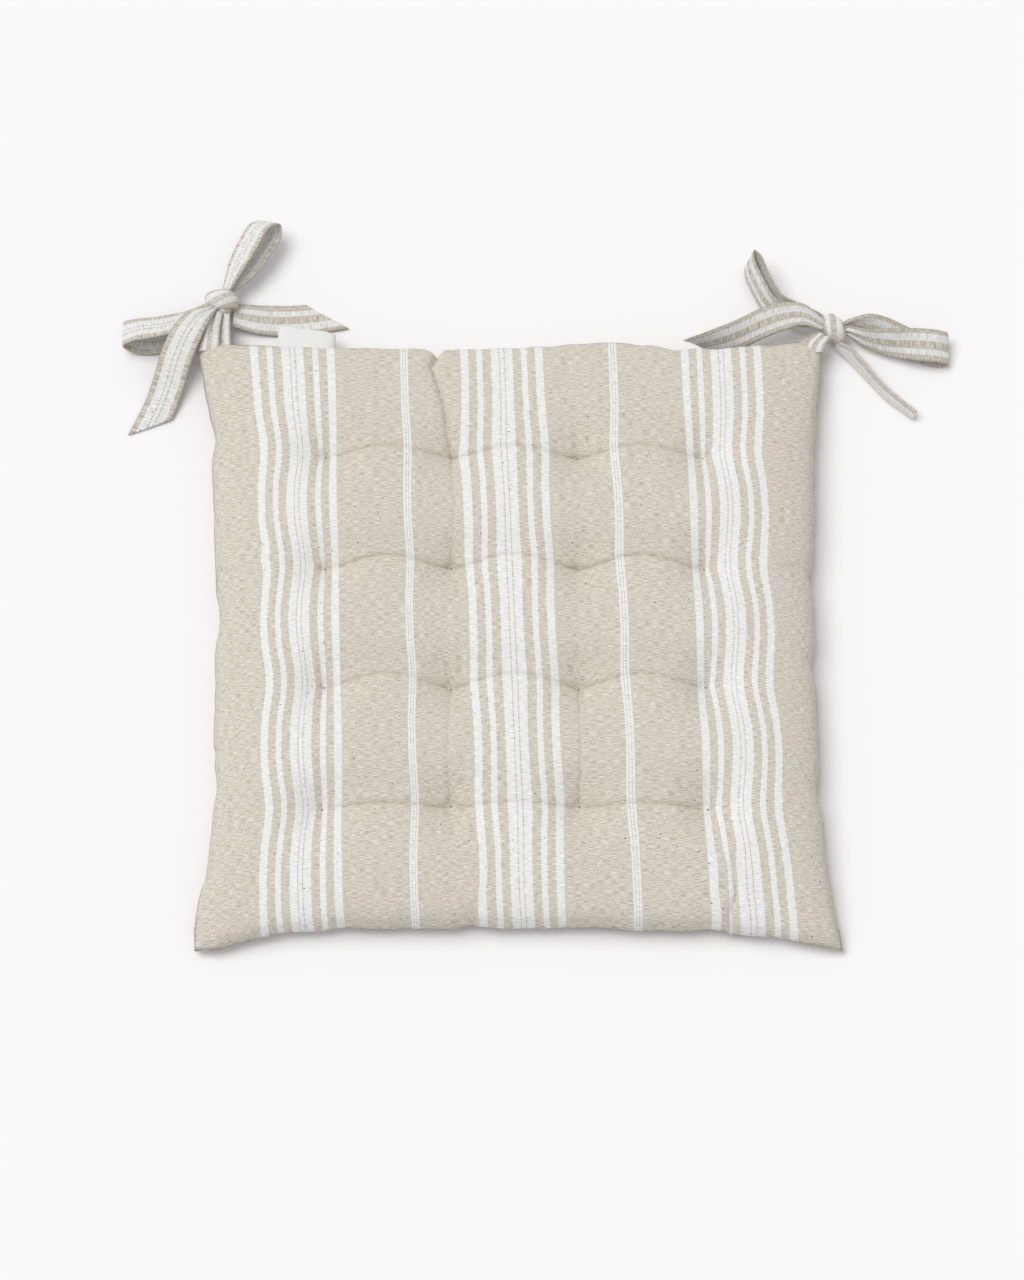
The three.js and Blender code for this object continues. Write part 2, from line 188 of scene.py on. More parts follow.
# ---- Materials ----
class Nodes:
    """Short calls that add nodes to a material and join them up."""

    def __init__(self, name):
        self.material = bpy.data.materials.new(name)
        self.material.use_nodes = True
        self.tree = self.material.node_tree
        self.shader = self.tree.nodes["Principled BSDF"]

    def put(self, value, socket):
        if isinstance(value, bpy.types.NodeSocket):
            self.tree.links.new(value, socket)
        else:
            socket.default_value = value

    def add(self, kind, **inputs):
        """A new node, with inputs set or joined by name."""
        node = self.tree.nodes.new("ShaderNode" + kind)
        for name, value in inputs.items():
            self.put(value, node.inputs[name])
        return node

    def math(self, operation, *values, clamp=False):
        node = self.add("Math")
        node.operation = operation
        node.use_clamp = clamp
        for value, socket in zip(values, node.inputs):
            self.put(value, socket)
        return node.outputs[0]

    def attribute(self, name):
        node = self.add("Attribute")
        node.attribute_name = name
        return node.outputs["Vector"]

    def split(self, vector):
        return self.add("SeparateXYZ", Vector=vector).outputs

    def scaled(self, vector, scale):
        node = self.add("VectorMath", Vector=vector)
        node.operation = "MULTIPLY"
        node.inputs[1].default_value = scale
        return node.outputs[0]

    def noise(self, vector, scale=1.0, detail=2.0, roughness=0.5):
        node = self.add("TexNoise", Vector=vector, Scale=scale, Detail=detail, Roughness=roughness)
        return node.outputs["Fac"]

    def ramp(self, factor, stops):
        node = self.add("ValToRGB", Fac=factor)
        elements = node.color_ramp.elements
        while len(elements) < len(stops):
            elements.new(1)
        for element, (place, value) in zip(elements, stops):
            element.position = place
            element.color = (value, value, value, 1)
        return node.outputs["Color"]

    def rgba(self, color):
        return color if isinstance(color, bpy.types.NodeSocket) else (*color, 1)

    def mix(self, factor, a, b):
        node = self.add("Mix")
        node.data_type = "RGBA"
        node.clamp_factor = True
        self.put(factor, node.inputs[0])
        self.put(self.rgba(a), node.inputs[6])
        self.put(self.rgba(b), node.inputs[7])
        return node.outputs[2]

    def paint(self, color):
        self.put(self.rgba(color), self.shader.inputs["Base Color"])

    def bump(self, height, strength, distance):
        node = self.add("Bump", Strength=strength, Distance=distance, Height=height)
        self.put(node.outputs["Normal"], self.shader.inputs["Normal"])

    def finish(self, roughness, sheen):
        self.shader.inputs["Roughness"].default_value = roughness
        self.shader.inputs["Sheen Weight"].default_value = sheen
        self.shader.inputs["Sheen Roughness"].default_value = 0.5
        self.shader.inputs["Specular IOR Level"].default_value = 0.2
        return self.material


BEIGES = (0.46, 0.416, 0.346), (0.745, 0.70, 0.62)
TIE_BEIGES = (0.38, 0.34, 0.28), (0.72, 0.67, 0.59)
WHITE = (0.87, 0.875, 0.87)
WHITE_DARK = (0.66, 0.665, 0.655)
FLECK = (0.16, 0.14, 0.11)
TIE_DARK = (0.25, 0.22, 0.18)
THREAD_PITCH = 0.62 * MM
GRAIN_CONTRAST = (3.4, -1.2)
RIB_PITCH = 1.3 * MM
EDGE_SHADE_REACH = 1.6 * MM  # how far in from its edge a strap is painted darker, as shade on its rounded edge
EDGE_STITCHES = 1.8 * MM  # how far in its stitching lies
GROOVE_HALF = 0.3 * MM

# The stripes repeat every 140 mm and are the same on both sides of a group's middle.
STRIPE_REPEAT = 140 * MM
# Each is (where it ends, how white it is), in millimetres out from the middle of a group.
STRIPES = (
    (1.25, 1), (1.95, 0.05), (6.8, 1), (12.2, 0), (15.9, 1), (21.1, 0),
    (26, 1), (67.4, 0), (68.8, 1), (69.4, 0.2), (70, 1),
)
STRIPE_SOFTNESS = 0.12  # half the width of an edge, in millimetres
STRIPE_WANDER = 0.7 * MM


def stripe_stops():
    half = STRIPE_REPEAT / 2 / MM
    stops = []
    low = 0
    for high, white in STRIPES:
        if low > 0:
            stops.append(((low + STRIPE_SOFTNESS) / half, white))
        if high < half:
            stops.append(((high - STRIPE_SOFTNESS) / half, white))
        low = high
    return stops


def stripe_share(n, cloth, x):
    """1 on a white stripe and 0 on the beige, with ragged edges."""
    ragged = n.noise(n.scaled(cloth, (300, 1300, 0)), detail=1)
    across = n.math("MULTIPLY_ADD", n.math("SUBTRACT", ragged, 0.5), STRIPE_WANDER, x)
    place = n.math("PINGPONG", across, STRIPE_REPEAT / 2)
    return n.ramp(n.math("DIVIDE", place, STRIPE_REPEAT / 2), stripe_stops())


def slubs(n, cloth, coarse):
    """The uneven yarns, which run both ways."""
    weft = n.noise(n.scaled(cloth, (220 / coarse, 2700 / coarse, 0)), detail=0)
    warp = n.noise(n.scaled(cloth, (2800 / coarse, 420 / coarse, 0)), detail=0)
    return n.math("ADD", n.math("MULTIPLY", weft, 0.66), n.math("MULTIPLY", warp, 0.34))


def weave_height(n, x, y, edge, grain):
    """The crossing threads, the slubs, and the groove of the stitching along a strap."""
    threads = [n.math("SINE", n.math("MULTIPLY", c, 2 * math.pi / THREAD_PITCH)) for c in (x, y)]
    weave = n.math("MULTIPLY", *threads)
    height = n.math("MULTIPLY_ADD", weave, 0.35, n.math("MULTIPLY", grain, 1.2))
    from_stitches = n.math("ABSOLUTE", n.math("SUBTRACT", edge, EDGE_STITCHES))
    return n.math("MULTIPLY_ADD", n.math("LESS_THAN", from_stitches, GROOVE_HALF), -1.2, height)


def linen(name, beiges, coarse=1.0, shade=1.0, ribs=0.0, edge_shade=0.0):
    """Plain-woven striped cloth. It reads its place in the flat cloth from the attribute cloth."""
    n = Nodes(name)
    cloth = n.attribute("cloth")
    x, y, edge = n.split(cloth)
    grain = slubs(n, cloth, coarse)
    tone = n.math("MULTIPLY_ADD", grain, *GRAIN_CONTRAST, clamp=True)
    white = n.math("MULTIPLY", stripe_share(n, cloth, x), shade)
    color = n.mix(white, n.mix(tone, *beiges), n.mix(tone, WHITE_DARK, WHITE))
    if ribs:
        rib = n.math("SINE", n.math("MULTIPLY", y, 2 * math.pi / RIB_PITCH))
        # Painted shade: the strap's colour darkens towards TIE_DARK near its edges, by edge_shade
        near_edge = n.math("SUBTRACT", 1, n.math("DIVIDE", edge, EDGE_SHADE_REACH), clamp=True)
        dim = n.math("MULTIPLY_ADD", near_edge, edge_shade, n.math("MULTIPLY_ADD", rib, ribs, ribs))
        color = n.mix(dim, color, TIE_DARK)
    fleck = n.noise(n.scaled(cloth, (520, 700, 0)), detail=0)
    n.paint(n.mix(n.math("MULTIPLY_ADD", fleck, 18, -14.5, clamp=True), color, FLECK))
    n.bump(weave_height(n, x, y, edge, grain), 0.25, 0.2 * MM)
    return n.finish(roughness=0.92, sheen=0.15)


def fibre(name):
    n = Nodes(name)
    place = n.add("TexCoord").outputs["Object"]
    tufty = n.noise(place, scale=240, detail=6, roughness=0.7)
    n.paint(n.mix(tufty, (0.72, 0.71, 0.67), (0.9, 0.89, 0.86)))
    n.bump(tufty, 0.8, 1.5 * MM)
    return n.finish(roughness=0.95, sheen=0.3)


def thread(name):
    n = Nodes(name)
    place = n.add("TexCoord").outputs["Object"]
    twist = n.noise(n.scaled(place, (2600, 1500, 1500)), detail=2)
    n.paint(n.mix(twist, (0.22, 0.175, 0.125), (0.42, 0.355, 0.27)))
    n.bump(twist, 0.6, 0.2 * MM)
    return n.finish(roughness=0.7, sheen=0.2)


def tape(name):
    """The label: a smooth, tightly woven tape."""
    n = Nodes(name)
    cloth = n.attribute("cloth")
    along = n.split(cloth)["Y"]
    ribs = n.math("SINE", n.math("MULTIPLY", along, 2 * math.pi / (0.45 * MM)))
    grain = n.noise(n.scaled(cloth, (500, 2200, 0)), detail=2)
    n.paint(n.mix(grain, (0.72, 0.725, 0.70), (0.81, 0.81, 0.79)))
    n.bump(n.math("MULTIPLY_ADD", ribs, 0.3, grain), 0.4, 0.15 * MM)
    return n.finish(roughness=0.75, sheen=0.1)


# ---- The pad's form: u and v run from -1 to 1 across the width and the depth ----
def plan(u, v):
    end_pull = np.where(v > 0, REAR_PULL, FRONT_PULL)
    x = HALF * u - SIDE_PULL * (1 - v * v) * u**5
    y = HALF * v - end_pull * (1 - u * u) * v**5
    return x, y


def dome(u, v):
    return np.sqrt(np.clip((1 - np.abs(u) ** EDGE_POWER) * (1 - np.abs(v) ** EDGE_POWER), 0, None))


def near_row(t):
    """1 on a row of tufts and 0 midway between two rows, and from half a pitch outside the last row."""

    def wave(x):
        return np.cos(np.pi * x / TUFT_PITCH) ** 2

    ridge = np.minimum(1, wave(t - TUFT_LINES[3]) / wave(TUFT_FLAT))
    return np.where(np.abs(t) > TUFT_LINES[3] + TUFT_PITCH / 2, 0, ridge)


def seam_height(v):
    return FRONT_SEAM_Z + (SEAM_Z - FRONT_SEAM_Z) * (1 + v) / 2


def top_height(u, v):
    loss = ROW_CREASE * near_row(v) ** 1.5 * np.clip(4 - 5 * np.abs(u), 0.2, 1)
    for tu in TUFT_LINES:
        for tv in TUFT_LINES:
            away = np.hypot(u - tu, v - tv) * HALF
            loss += (TOP_DIP - ROW_CREASE) * np.exp(-((away / TOP_DIP_REACH) ** 2))
    return seam_height(v) + (PAD_TOP - seam_height(v)) * dome(u, v) * (1 - loss)


def bottom_height(u, v):
    fullness = BOTTOM_FULLNESS * dome(u, v) * (1 - BOTTOM_DIP * near_row(u) * near_row(v))
    return seam_height(v) * (1 - np.minimum(1, fullness)) + MM / 2


def corner_shift(u, v):
    """Moves the corners to their places, and fades out inside."""
    shift = np.zeros(u.shape + (3,))
    for (a, b), place in CORNERS.items():
        weight = ((1 + a * u) / 2) ** 5 * ((1 + b * v) / 2) ** 5
        shift += weight[..., None] * (np.array(place) - (a * HALF, b * HALF, seam_height(b)))
    return shift


def crease_bow(u, v):
    """How far the cloth lies rearwards of its even place: whole rows, and the arcs between their tufts."""
    between = np.where(np.abs(u) < TUFT_LINES[3], 1 - near_row(u), 0)
    bows = sum(bow * np.exp(-(((v - t) / 0.09) ** 2)) for t, bow in zip(TUFT_LINES, CREASE_BOWS))
    rows = np.interp(v, [-1, *TUFT_LINES, 1], [0, *ROW_SHIFTS, 0])
    return between * bows + rows * (1 - u**8)


def grid_lines(cells):
    line = np.linspace(-1, 1, cells + 1)
    return np.meshgrid(line, line)


def tuft_indices(cells):
    """Where the tuft lines fall along a grid of so many squares."""
    return [round((1 + t) / 2 * cells) for t in TUFT_LINES]


def rim_of(index):
    """The points along a grid's edge, once round."""
    return np.concatenate([index[0, :-1], index[:-1, -1], index[-1, :0:-1], index[:0:-1, 0]])


def quads(index, flip=False):
    corners = (index[:-1, :-1], index[:-1, 1:], index[1:, 1:], index[1:, :-1])
    faces = np.stack(corners, -1).reshape(-1, 4)
    return faces[:, ::-1] if flip else faces


def mesh_object(name, points, faces):
    mesh = bpy.data.meshes.new(name)
    mesh.from_pydata(np.asarray(points).tolist(), [], [list(map(int, f)) for f in faces])
    mesh.update()
    return link(bpy.data.objects.new(name, mesh))


def ring(index, depth):
    """The points of a grid that lie depth steps inside its edge."""
    low, high = depth, len(index) - 1 - depth
    span = slice(low, high + 1)
    sides = [index[low, span], index[high, span], index[span, low], index[span, high]]
    return np.unique(np.concatenate(sides))


def simulate_covers():
    """Returns the points of the top and bottom cover as two grids, after the cloth has swollen."""
    u, v = grid_lines(GRID)
    x, y = plan(u, v)
    shift = corner_shift(u, v)
    shift[..., 1] += crease_bow(u, v)
    top = np.stack([x, y, top_height(u, v)], -1) + shift
    bottom = np.stack([x, y, bottom_height(u, v)], -1) + shift * (1, 1, 0)
    count = (GRID + 1) ** 2
    inside = np.zeros(u.shape, bool)
    inside[1:-1, 1:-1] = True
    top_index = np.arange(count).reshape(u.shape)
    bottom_index = top_index.copy()
    bottom_index[inside] = count + np.arange(inside.sum())
    points = np.concatenate([top.reshape(-1, 3), bottom[inside]])
    faces = np.concatenate([quads(top_index), quads(bottom_index, flip=True)])
    pad = mesh_object("pad_cloth", points, faces)
    moved = np.zeros_like(points)
    hold_cloth(pad, top_index, bottom_index)
    moved = swell(pad, len(points)) - points
    bpy.data.objects.remove(pad)
    moved = moved * (1, 1, RISE_SHARE)
    return [points[index] + smooth(moved[index], SMOOTHING) for index in (top_index, bottom_index)]


def hold_cloth(pad, top_index, bottom_index):
    """Weights for what is held in place, and for where the cloth has no slack."""
    held = pad.vertex_groups.new(name="held")
    seam = pad.vertex_groups.new(name="seam")
    lines = tuft_indices(GRID)
    span = slice(LINE_MARGIN, GRID + 1 - LINE_MARGIN)
    line = np.abs(np.linspace(-1, 1, GRID + 1))
    for index, share in zip(range(GRID + 1), line**4):
        weight = SEAM_HOLD + (CORNER_HOLD - SEAM_HOLD) * share
        sides = [top_index[0, index], top_index[-1, index], top_index[index, 0], top_index[index, -1]]
        held.add([int(i) for i in sides], weight, "REPLACE")
    for i in lines:
        held.add(top_index[span, i].tolist(), COLUMN_HOLD, "REPLACE")
    for j in lines:
        held.add(top_index[j, span].tolist(), ROW_HOLD, "REPLACE")
    corners = [int(top_index[j, i]) for j in (0, GRID) for i in (0, GRID)]
    tufts = [int(index[j, i]) for j in lines for i in lines for index in (top_index, bottom_index)]
    held.add(corners + tufts, 1.0, "REPLACE")
    for depth in range(SEAM_BAND):
        for index in (top_index, bottom_index):
            seam.add(ring(index, depth).tolist(), 1 - depth / SEAM_BAND, "REPLACE")


def swell(pad, count):
    """Blows the covers up over a table, and returns where their points end up."""
    cloth = pad.modifiers.new("cloth", "CLOTH")
    for name, value in CLOTH_SETTINGS.items():
        setattr(cloth.settings, name, value)
    cloth.settings.effector_weights.gravity = 0
    cloth.collision_settings.distance_min = 0.8 * MM
    table = mesh_object("sim_table", *square(1))
    table.modifiers.new("collision", "COLLISION")
    cloth.point_cache.frame_end = SIM_FRAMES
    for step in range(1, SIM_FRAMES + 1):
        bpy.context.scene.frame_set(step)
    evaluated = pad.evaluated_get(bpy.context.evaluated_depsgraph_get()).data
    points = np.empty(count * 3, np.float32)
    evaluated.vertices.foreach_get("co", points)
    bpy.data.objects.remove(table)
    bpy.context.scene.frame_set(1)
    return points.reshape(-1, 3).astype(float)


# ---- After the simulation: a finer grid, and creases ----
def refine(grid):
    """Twice as many points each way, on a smooth curve through the old ones."""

    def double(rows):
        before, after = rows[:-1], rows[1:]
        middle = (before + after) / 2
        middle[1:-1] += (before[1:-1] + after[1:-1] - rows[:-3] - rows[3:]) / 16
        out = np.empty((2 * len(rows) - 1,) + rows.shape[1:])
        out[::2] = rows
        out[1::2] = middle
        return out

    return double(double(grid).swapaxes(0, 1)).swapaxes(0, 1)


def smooth(field, spread):
    """A Gaussian blur of a grid of vectors. Beyond its edge the grid goes on as its own point reflection."""
    reach = round(3 * spread)
    weights = np.exp(-0.5 * (np.arange(-reach, reach + 1) / spread) ** 2)
    weights /= weights.sum()
    for _ in range(2):
        padded = np.pad(field, ((reach, reach), (0, 0), (0, 0)), mode="reflect", reflect_type="odd")
        field = sum(w * padded[k : k + len(field)] for k, w in enumerate(weights)).swapaxes(0, 1)
    return field


def press_down(top):
    """Scales the puffs to the CAD's height, and cuts off what still stands above it."""
    z = top[..., 2]
    high = np.percentile(z, 99.5)
    puffed = z > TUFT_Z
    z[puffed] = TUFT_Z + (z[puffed] - TUFT_Z) * (PAD_TOP - TUFT_Z) / (high - TUFT_Z)
    np.minimum(z, PAD_TOP + MM / 2, out=z)


GATHER_WIDTH = 7 * MM  # how far on each side a fold draws the cloth together


class Crease:
    """A fold along points of (u, v): its depths there, how far its sides roll in, and how much it gathers."""

    def __init__(self, points, depths, width, gather=0.0):
        self.points = np.array(points, float) * HALF
        self.depths = depths
        self.width = width
        self.gather = gather

    def carve(self, grid, u, v):
        place = np.stack([u * HALF, v * HALF], -1)
        nearest = np.full(u.shape, np.inf)
        toward = np.zeros_like(place)
        depth = np.zeros(u.shape)
        for i, (a, b) in enumerate(zip(self.points[:-1], self.points[1:])):
            run = b - a
            share = np.clip(((place - a) @ run) / max(run @ run, 1e-12), 0, 1)
            offset = a + share[..., None] * run - place
            away = np.linalg.norm(offset, axis=-1)
            closer = away < nearest
            nearest = np.where(closer, away, nearest)
            toward = np.where(closer[..., None], offset, toward)
            depth = np.where(closer, self.depths[i] + share * (self.depths[i + 1] - self.depths[i]), depth)
        grid[..., 2] -= depth * np.exp(-nearest / self.width)
        grid[..., :2] += self.gather * toward * np.exp(-((nearest / GATHER_WIDTH) ** 2))[..., None]


ARC_STEPS = 8


def arc(a, b, bow):
    """Points from a to b that bow sideways by that much in the middle."""
    a, b = np.array(a), np.array(b)
    t = np.linspace(0, 1, ARC_STEPS + 1)[:, None]
    side = np.array([a[1] - b[1], b[0] - a[0]]) / np.linalg.norm(b - a)
    return a + (b - a) * t + side * bow * np.sin(np.pi * t) ** 1.2


def arc_depths(middle, end, power):
    """Depths for the points of an arc: the same at both ends, and another in the middle."""
    return middle + (end - middle) * np.abs(np.linspace(-1, 1, ARC_STEPS + 1)) ** power


def tuft_creases(random):
    """Folds between the tufts of a row, a pinch at each tuft, and fainter folds in the columns."""
    creases = []
    for v in TUFT_LINES:
        for left, right in zip(TUFT_LINES[:-1], TUFT_LINES[1:]):
            depths = arc_depths(random.uniform(1.2, 1.9) * MM, 2.2 * MM, 2)
            line = arc((left, v), (right, v), 0)
            creases.append(Crease(line, depths, 6 * MM))
            creases.append(Crease(line, 0.75 * depths, 1.8 * MM, gather=0.4))
    for u in TUFT_LINES:
        for v in TUFT_LINES:
            creases.append(Crease([(u, v), (u, v)], np.array([PINCH, PINCH]), 3 * MM))
        for low, high in zip(TUFT_LINES[:-1], TUFT_LINES[1:]):
            depths = arc_depths(random.uniform(0.15, 0.6) * MM, 1.5 * MM, 3)
            wander = random.uniform(-0.012, 0.012)
            creases.append(Crease(arc((u, low), (u, high), wander), depths, 4 * MM))
    return creases


def edge_creases(random):
    """Short folds that run from the outer tufts to the seam."""
    creases = []
    far = TUFT_LINES[3]
    for t in TUFT_LINES:
        for side in (-1, 1):
            slant = random.uniform(-0.05, 0.05)
            depths = np.array([1.2, 0.5, 0.5, 0.9]) * random.uniform(0.5, 1.2) * MM
            outward = [(r, t + slant * k / 3) for k, r in enumerate(np.linspace(far, 1.0, 4) * side)]
            creases.append(Crease(outward, 1.5 * depths, 4 * MM))
            creases.append(Crease([(v, u) for u, v in outward], depths, 4 * MM))
    return creases


# Pleats where more cloth was caught in the seam, and folds between tufts: (points, depths in millimetres)
PLEATS = (
    (
        ((-0.24, 1.0), (-0.268, 0.9), (-0.245, 0.83), (-0.224, 0.745), (-0.214, 0.665), (-0.2, 0.6)),
        (7, 6, 5, 4, 3, 2),
    ),
    (((0.66, -1.0), (0.655, -0.93), (0.675, -0.86), (0.66, -0.78)), (6, 5, 3.5, 0)),
    (((0.2, -0.56), (0.205, -0.4), (0.2, -0.24)), (1.2, 0.9, 1.2)),
    (((-0.2, -0.56), (-0.21, -0.4), (-0.2, -0.24)), (0.9, 0.5, 0.7)),
    (((-0.2, 0.25), (-0.19, 0.4), (-0.2, 0.55)), (0.8, 0.5, 1.0)),
    (((-0.12, -1.0), (-0.125, -0.95), (-0.12, -0.88)), (3, 1.5, 0)),
    (((1.0, 0.2), (0.93, 0.22), (0.86, 0.2)), (3, 1.6, 0)),
    (((-1.0, 0.22), (-0.92, 0.2), (-0.82, 0.21)), (2.2, 1.2, 0)),
)

# Dips in the seam, or bulges if negative: (u, v) on the seam, depth and half length in millimetres
DENTS = (
    ((-0.25, 1), 6.5, 5),
    ((0.3, 1), -5, 50),
    ((0.51, 1), 2.2, 9),
    ((0.86, 1), -2.5, 40),
    ((-1, 0.68), 3.2, 14),
    ((-1, 0.06), 2.6, 14),
    ((-1, -0.45), 1.6, 20),
    ((1, 0.2), 2.4, 10),
    ((1, -0.08), 2.6, 9),
    ((1, -0.5), 2.6, 12),
    ((-0.12, -1), 2.2, 9),
    ((0.24, -1), 1.0, 14),
    ((0.6, -1), 2.6, 10),
    ((-0.5, -1), 1.2, 18),
)
DENT_REACH = 16 * MM  # how far in from the seam a dip fades


def puckers(random):
    """Small, uneven dips all along the seam."""
    dips = []
    for fixed in (-1, 1):
        for t in np.arange(-0.9, 0.9, 0.13):
            for swap in (False, True):
                along = t + random.uniform(-0.05, 0.05)
                place = (fixed, along) if swap else (along, fixed)
                dips.append((place, random.uniform(0.2, 1.1), random.uniform(4, 9)))
    return dips


def dent(grid, u, v):
    for (du, dv), depth, half in [*DENTS, *puckers(np.random.default_rng(9))]:
        axis, outward = (0, du) if abs(du) == 1 else (1, dv)
        along, to_edge = (v - dv, 1 - du * u) if axis == 0 else (u - du, 1 - dv * v)
        weight = np.exp(-((along * HALF / (half * MM)) ** 2) - to_edge * HALF / DENT_REACH)
        grid[..., axis] -= outward * depth * MM * weight


def crease_top(top, u, v):
    random = np.random.default_rng(4)
    folds = tuft_creases(random) + edge_creases(random)
    folds += [Crease(points, np.array(depths) * MM, 2.2 * MM, gather=0.6) for points, depths in PLEATS]
    for fold in folds:
        fold.carve(top, u, v)
    tufted = (np.abs(u) < AMONG_TUFTS) & (np.abs(v) < AMONG_TUFTS)
    top[..., 2] = np.where(tufted, np.maximum(top[..., 2], PIT_Z), top[..., 2])


def cloth_places(u, v):
    """Where each point lies in the flat cloth, which the tufts and the rear pleat draw together."""
    x, y = HALF * u, HALF * v
    across = x.copy()
    for tv in TUFT_LINES:
        for tu in TUFT_LINES:
            dx, dy = x - HALF * tu, y - HALF * tv
            reach = np.exp(-((dx / GATHER_REACH[0]) ** 2) - (dy / GATHER_REACH[1]) ** 2)
            across += TUFT_GATHER * dx * reach
    left = 1 / (1 + np.exp((x - PLEAT_X) / PLEAT_WIDTH))
    rearward = (1 + v) / 2
    right_pull = 0.4 * (1 - left) * np.exp(-(x - PLEAT_X) / PLEAT_FADE) * rearward
    across -= PLEAT_TAKE * (left * (0.55 + 0.45 * rearward) - right_pull)
    across = np.clip(across + STRIPE_SKEW * y + STRIPE_SHIFT, -PLAIN_FROM, PLAIN_FROM)
    return np.stack([across, y, np.full_like(u, 1.0)], -1)


def store_cloth(obj, places):
    """Keeps each point's place in the flat cloth, which the materials read."""
    attribute = obj.data.attributes.new("cloth", "FLOAT_VECTOR", "POINT")
    attribute.data.foreach_set("vector", np.asarray(places, np.float32).ravel())


def dress(obj, material, slot, *nodes):
    obj.data.materials.append(material)
    obj.data.shade_smooth()
    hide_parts(*nodes)
    return obj


def sharpen_rows(cover, columns):
    """Marks the folds between the tufts of a row as sharp."""
    edges = np.empty(2 * len(cover.data.edges), int)
    cover.data.edges.foreach_get("vertices", edges)
    row, column = edges.reshape(-1, 2) // columns, edges.reshape(-1, 2) % columns
    lines = tuft_indices(columns - 1)
    sharp = (row[:, 0] == row[:, 1]) & np.isin(row[:, 0], lines)
    sharp &= (column.min(axis=1) >= lines[0]) & (column.max(axis=1) <= lines[-1])
    attribute = cover.data.attributes.new("sharp_edge", "BOOLEAN", "EDGE")
    attribute.data.foreach_set("value", sharp)


def turned_in(points, rim, middle):
    """Two loops of points inside the seam, for the allowance."""
    inward = (middle - points[rim]) * (1, 1, 0)
    inward /= np.abs(inward).max(axis=1)[:, None]
    return [points[rim] + inward * reach for reach in (1.5 * MM, ALLOWANCE)]


def make_cover(name, grid, side, material):
    """One cover: its swollen face, and the seam allowance that is turned in at the seam."""
    u, v = grid_lines(len(grid) - 1)
    index = np.arange(u.size).reshape(u.shape)
    rim = rim_of(index)
    places = cloth_places(u, v).reshape(-1, 3)
    points = grid.reshape(-1, 3).copy()
    points[rim, 2] += side * SEAM_GAP / 2
    loops = turned_in(points, rim, points[index[len(u) // 2, len(u) // 2]])
    first = u.size + np.arange(len(rim))
    faces = quads(index, flip=side < 0).tolist()
    for outer, deeper in ((rim, first), (first, first + len(rim))):
        band = np.stack([np.roll(outer, -1), outer, deeper, np.roll(deeper, -1)], -1)
        faces += band[:, ::side].tolist()
    cover = mesh_object(name + "_cloth", np.concatenate([points, *loops]), faces)
    store_cloth(cover, np.concatenate([places, places[rim], places[rim]]))
    if side > 0:
        sharpen_rows(cover, len(u))
    thick = cover.modifiers.new("thick", "SOLIDIFY")
    thick.thickness = CLOTH
    thick.offset = -1
    dress(cover, material, "striped_linen", name)
    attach(cover, "pad")


WADDING_STEP = 4  # of the covers' squares to one of its own
WADDING_INSET = 0.06  # share of the pad's width
WADDING_GAP = 2 * MM
WADDING_LEAST = 4 * MM  # how thin it may get


def extreme(heights, pick, reach=5):
    """The lowest or highest of a grid of heights within a few squares of each point."""
    steps = range(-reach, reach + 1)
    return pick.reduce([np.roll(heights, (j, i), (0, 1)) for j in steps for i in steps])


def make_wadding(top, bottom, material):
    """The filling: it follows the inside of both covers."""
    edge = round(WADDING_INSET * (len(top) - 1) / WADDING_STEP) * WADDING_STEP
    keep = slice(edge, len(top) - edge, WADDING_STEP)
    lowest = extreme(top[..., 2], np.minimum)[keep, keep]
    highest = extreme(bottom[..., 2], np.maximum)[keep, keep]
    upper, lower = top[keep, keep].copy(), bottom[keep, keep].copy()
    upper[..., 2] = lowest - WADDING_GAP
    lower[..., 2] = np.minimum(highest + WADDING_GAP, upper[..., 2] - WADDING_LEAST)
    count = len(upper) ** 2
    index = np.arange(count).reshape(len(upper), len(upper))
    rim = rim_of(index)
    ahead = np.roll(rim, -1)
    faces = quads(index).tolist() + quads(index + count, flip=True).tolist()
    faces += np.stack([ahead, ahead + count, rim + count, rim], -1).tolist()
    wadding = mesh_object("wadding", np.concatenate([upper.reshape(-1, 3), lower.reshape(-1, 3)]), faces)
    dress(wadding, material, "wadding", "filling")
    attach(wadding, "pad")


# ---- Tubes and bands ----
def tube(path, radius, sides):
    """Points and faces of a tube along a closed path."""
    ahead = np.roll(path, -1, 0) - np.roll(path, 1, 0)
    ahead /= np.linalg.norm(ahead, axis=1)[:, None]
    up = np.array([0, 0, 1.0]) + 0.01 * np.roll(ahead, 1, axis=1)
    side = np.cross(ahead, up)
    side /= np.linalg.norm(side, axis=1)[:, None]
    lift = np.cross(side, ahead)
    angle = np.arange(sides) * 2 * np.pi / sides
    out = np.cos(angle)[None, :, None] * side[:, None] + np.sin(angle)[None, :, None] * lift[:, None]
    points = path[:, None] + radius * out
    index = np.arange(len(path) * sides).reshape(len(path), sides)
    index = np.pad(index, (0, 1), mode="wrap")
    return points.reshape(-1, 3), quads(index, flip=True).tolist()


def join_parts(parts):
    points, faces, start = [], [], 0
    for part_points, part_faces in parts:
        points.append(part_points)
        faces += [[start + i for i in face] for face in part_faces]
        start += len(part_points)
    return np.concatenate(points), faces


def make_seam_thread(top, material):
    """The row of stitches that joins the covers, in the allowance just inside the seam."""
    index = np.arange(len(top) ** 2).reshape(len(top), len(top))
    path = top.reshape(-1, 3)[rim_of(index)]
    inward = -path * (1, 1, 0)
    path = path + 2.2 * MM * inward / np.abs(inward).max(axis=1)[:, None]
    stitches = mesh_object("seam_stitches", *tube(path, 0.22 * MM, 5))
    dress(stitches, material, "sewing_thread", "seam_thread")
    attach(stitches, "pad")


STITCH_HALF = 1.1 * MM
STRAND_RADIUS = 0.3 * MM
STRAND_APART = 0.32 * MM  # from the tuft's middle
# A stitch from end to end: (share of STITCH_HALF, millimetres above the cloth)
STITCH = ((-1, -2), (-1, -0.3), (-0.6, 0.1), (0, 0.2), (0.6, 0.1), (1, -0.3))


